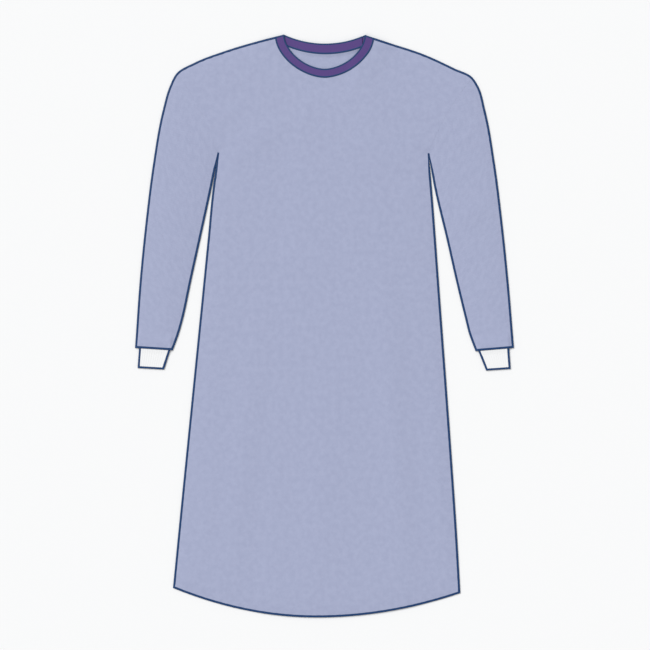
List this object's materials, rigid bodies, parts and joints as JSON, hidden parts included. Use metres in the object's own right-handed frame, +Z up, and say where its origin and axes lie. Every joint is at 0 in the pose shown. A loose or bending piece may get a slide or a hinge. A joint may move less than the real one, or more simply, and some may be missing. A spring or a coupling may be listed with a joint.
{
  "type": "surgical gown",
  "caption": "Long-sleeved surgical gown laid flat on its back, with a round neck bound in dark tape, lapped back panels and white ribbed cuffs.",
  "frame": {"origin": "middle of the gown's length and width, on the surface that it lies on", "axes": "+X towards the wearer's left sleeve, +Y from the hem towards the neck, +Z up out of the front panel"},
  "size_m": [0.814, 1.2517, 0.0075],
  "materials": {
    "gown_cloth": "matt embossed nonwoven",
    "binding_tape": "matt woven tape",
    "cuff_knit": "soft ribbed knit"
  },
  "bodies": {
    "root": {"front_panel": "gown_cloth", "back_panel_outer": "gown_cloth", "back_panel_inner": "gown_cloth", "sleeve_left": "gown_cloth", "sleeve_right": "gown_cloth", "cuff_left": "cuff_knit", "cuff_right": "cuff_knit", "neck_binding_front": "binding_tape", "neck_binding_back_outer": "binding_tape", "neck_binding_back_inner": "binding_tape"}
  },
  "joints": []
}
